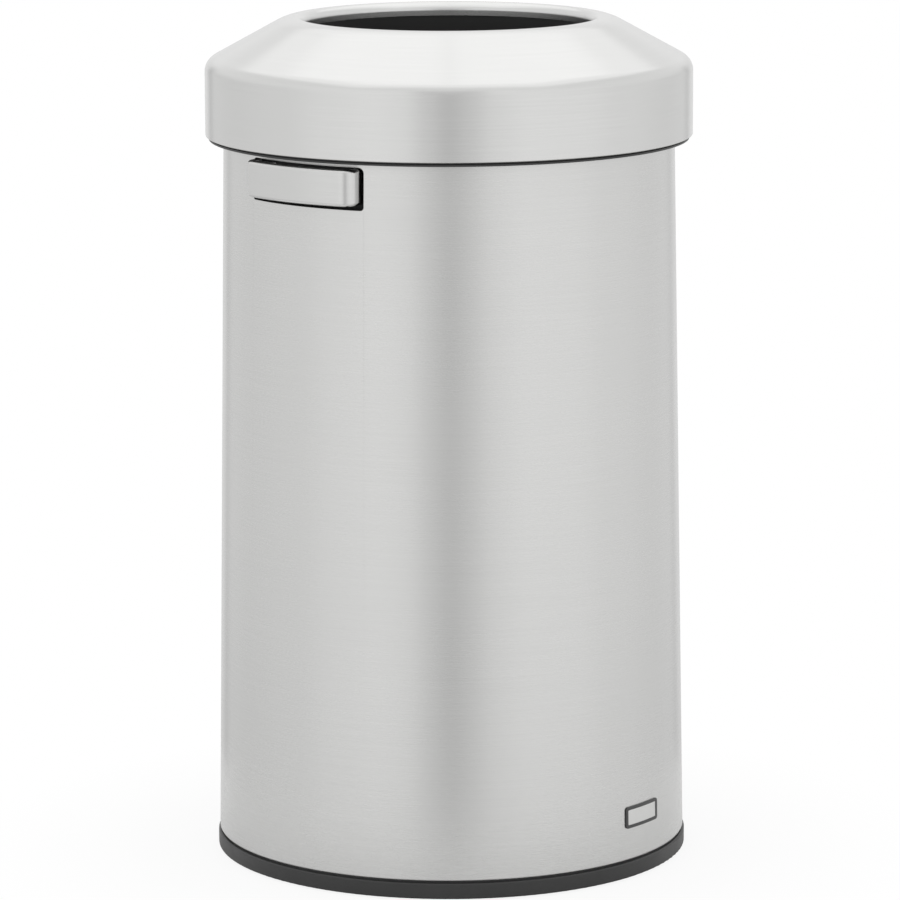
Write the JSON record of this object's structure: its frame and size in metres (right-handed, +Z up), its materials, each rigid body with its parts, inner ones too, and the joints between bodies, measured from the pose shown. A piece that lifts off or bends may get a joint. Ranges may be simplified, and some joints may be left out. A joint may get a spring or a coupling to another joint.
{
  "type": "waste container",
  "caption": "Round waste container: tapered brushed-steel body with bridge handles on a black foot ring, and a hinged conical hood with a wide open mouth.",
  "frame": {"origin": "floor point on the body's axis, the middle of the foot", "axes": "+Z up along the body's axis; the front with the badge faces -Y, the handles face -X and +X, the hood's hinge is at the back, at +Y"},
  "size_m": [0.4476, 0.4476, 0.7766],
  "materials": {
    "body_steel": "fine brush lines round the body",
    "hood_steel": "fine brush lines round the hood",
    "handle_steel": "fine brush lines along the handle",
    "pan_steel": "plain pressed sheet",
    "rivet_steel": "satin",
    "hinge_steel": "satin",
    "zinc": "bright zinc",
    "foot_plastic": "fine moulded grain",
    "hood_plastic": "fine moulded grain",
    "chute_plastic": "satin moulding",
    "collar_plastic": "fine moulded grain",
    "pocket_plastic": "fine moulded grain",
    "rubber": "matte",
    "badge_dark": "satin paint",
    "badge_panel": "satin"
  },
  "bodies": {
    "body": {"body_shell": "body_steel", "base_ring": "foot_plastic", "floor_pan": "pan_steel", "base_screws": "zinc", "base_nuts": "zinc", "floor_glides": "rubber", "top_collar": "collar_plastic", "collar_rivets": "rivet_steel", "bag_cinches": "collar_plastic", "hood_bumpers": "rubber", "left_handle": "handle_steel", "right_handle": "handle_steel", "left_handle_pocket": "pocket_plastic", "right_handle_pocket": "pocket_plastic", "handle_screws": "zinc", "handle_nuts": "zinc", "pocket_studs": "zinc", "pocket_nuts": "zinc", "badge_plate": "badge_dark", "badge_panel": "badge_panel", "hinge_body_leaf": "hinge_steel", "hinge_pin": "hinge_steel", "hinge_rivets": "rivet_steel"},
    "hood": {"hood_skin": "hood_steel", "hood_frame": "hood_plastic", "hood_chute": "chute_plastic", "chute_screws": "zinc", "hinge_hood_leaf": "hinge_steel", "hinge_screws": "zinc"}
  },
  "joints": [
    {"name": "hood_hinge", "type": "hinge", "parent": "body", "child": "hood", "pos_m": [0, 0.21232, 0.6678], "axis": [-1, 0, 0], "range_deg": [0, 100]}
  ]
}
